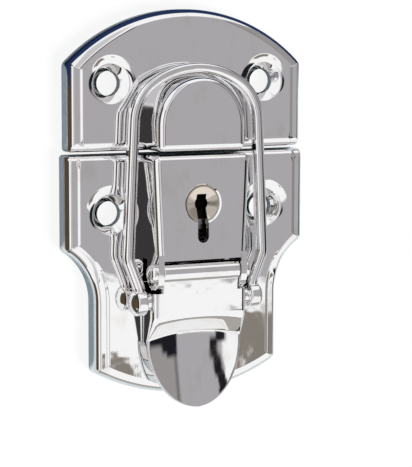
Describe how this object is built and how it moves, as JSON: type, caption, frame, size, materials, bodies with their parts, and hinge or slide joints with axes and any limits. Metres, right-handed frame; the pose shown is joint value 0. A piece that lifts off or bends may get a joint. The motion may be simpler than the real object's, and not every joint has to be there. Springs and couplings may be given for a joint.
{
  "type": "butterfly case latch",
  "caption": "Keyed butterfly case latch: pressed plates, D-shaped boss, lock case, hinged thumb lever and a bail loop; chrome-plated steel.",
  "frame": {"origin": "middle of the base plate's parting flange, on the mounting plane", "axes": "+X right, +Y from the case towards the lid, +Z outward from the mounting plane"},
  "size_m": [0.05, 0.0757, 0.0106],
  "materials": {
    "chrome_plate": "bright plated steel, mirror polish",
    "satin_nickel": "satin turned nickel",
    "plain_steel": "plain zinc-plated steel",
    "spring_steel": "blued spring steel"
  },
  "bodies": {
    "base": {"catch_plate": "chrome_plate", "catch_boss": "chrome_plate", "base_plate": "chrome_plate", "lock_case": "chrome_plate", "hinge_pin": "chrome_plate", "plug_washer": "spring_steel", "plug_plate": "plain_steel", "guide_post_left": "plain_steel", "guide_post_right": "plain_steel", "bolt_spring": "spring_steel"},
    "lever": {"lever": "chrome_plate", "bail_rivet_left": "chrome_plate", "bail_rivet_right": "chrome_plate"},
    "bail": {"bail": "chrome_plate"},
    "plug": {"lock_plug": "satin_nickel"},
    "bolt": {"lock_bolt": "plain_steel"}
  },
  "joints": [
    {"name": "lever_hinge", "type": "hinge", "parent": "base", "child": "lever", "pos_m": [0, -0.02175, 0.0087], "axis": [-1, 0, 0], "range_deg": [0, 115]},
    {"name": "bail_pivot", "type": "hinge", "parent": "lever", "child": "bail", "pos_m": [0, -0.0272, 0.00735], "axis": [1, 0, 0], "range_deg": [0, 138]},
    {"name": "plug_turn", "type": "hinge", "parent": "base", "child": "plug", "pos_m": [0, -0.0087, 0.0095], "axis": [0, 0, -1], "range_deg": [0, 90]},
    {"name": "bolt_slide", "type": "slide", "parent": "base", "child": "bolt", "axis": [0, -1, 0], "range_m": [0, 0.00226]}
  ],
  "couplings": [
    {"joint": "bail_pivot", "follows": "lever_hinge", "ratio": 1.2},
    {"joint": "plug_turn", "follows": "bolt_slide", "rad_per_m": 694.2}
  ]
}
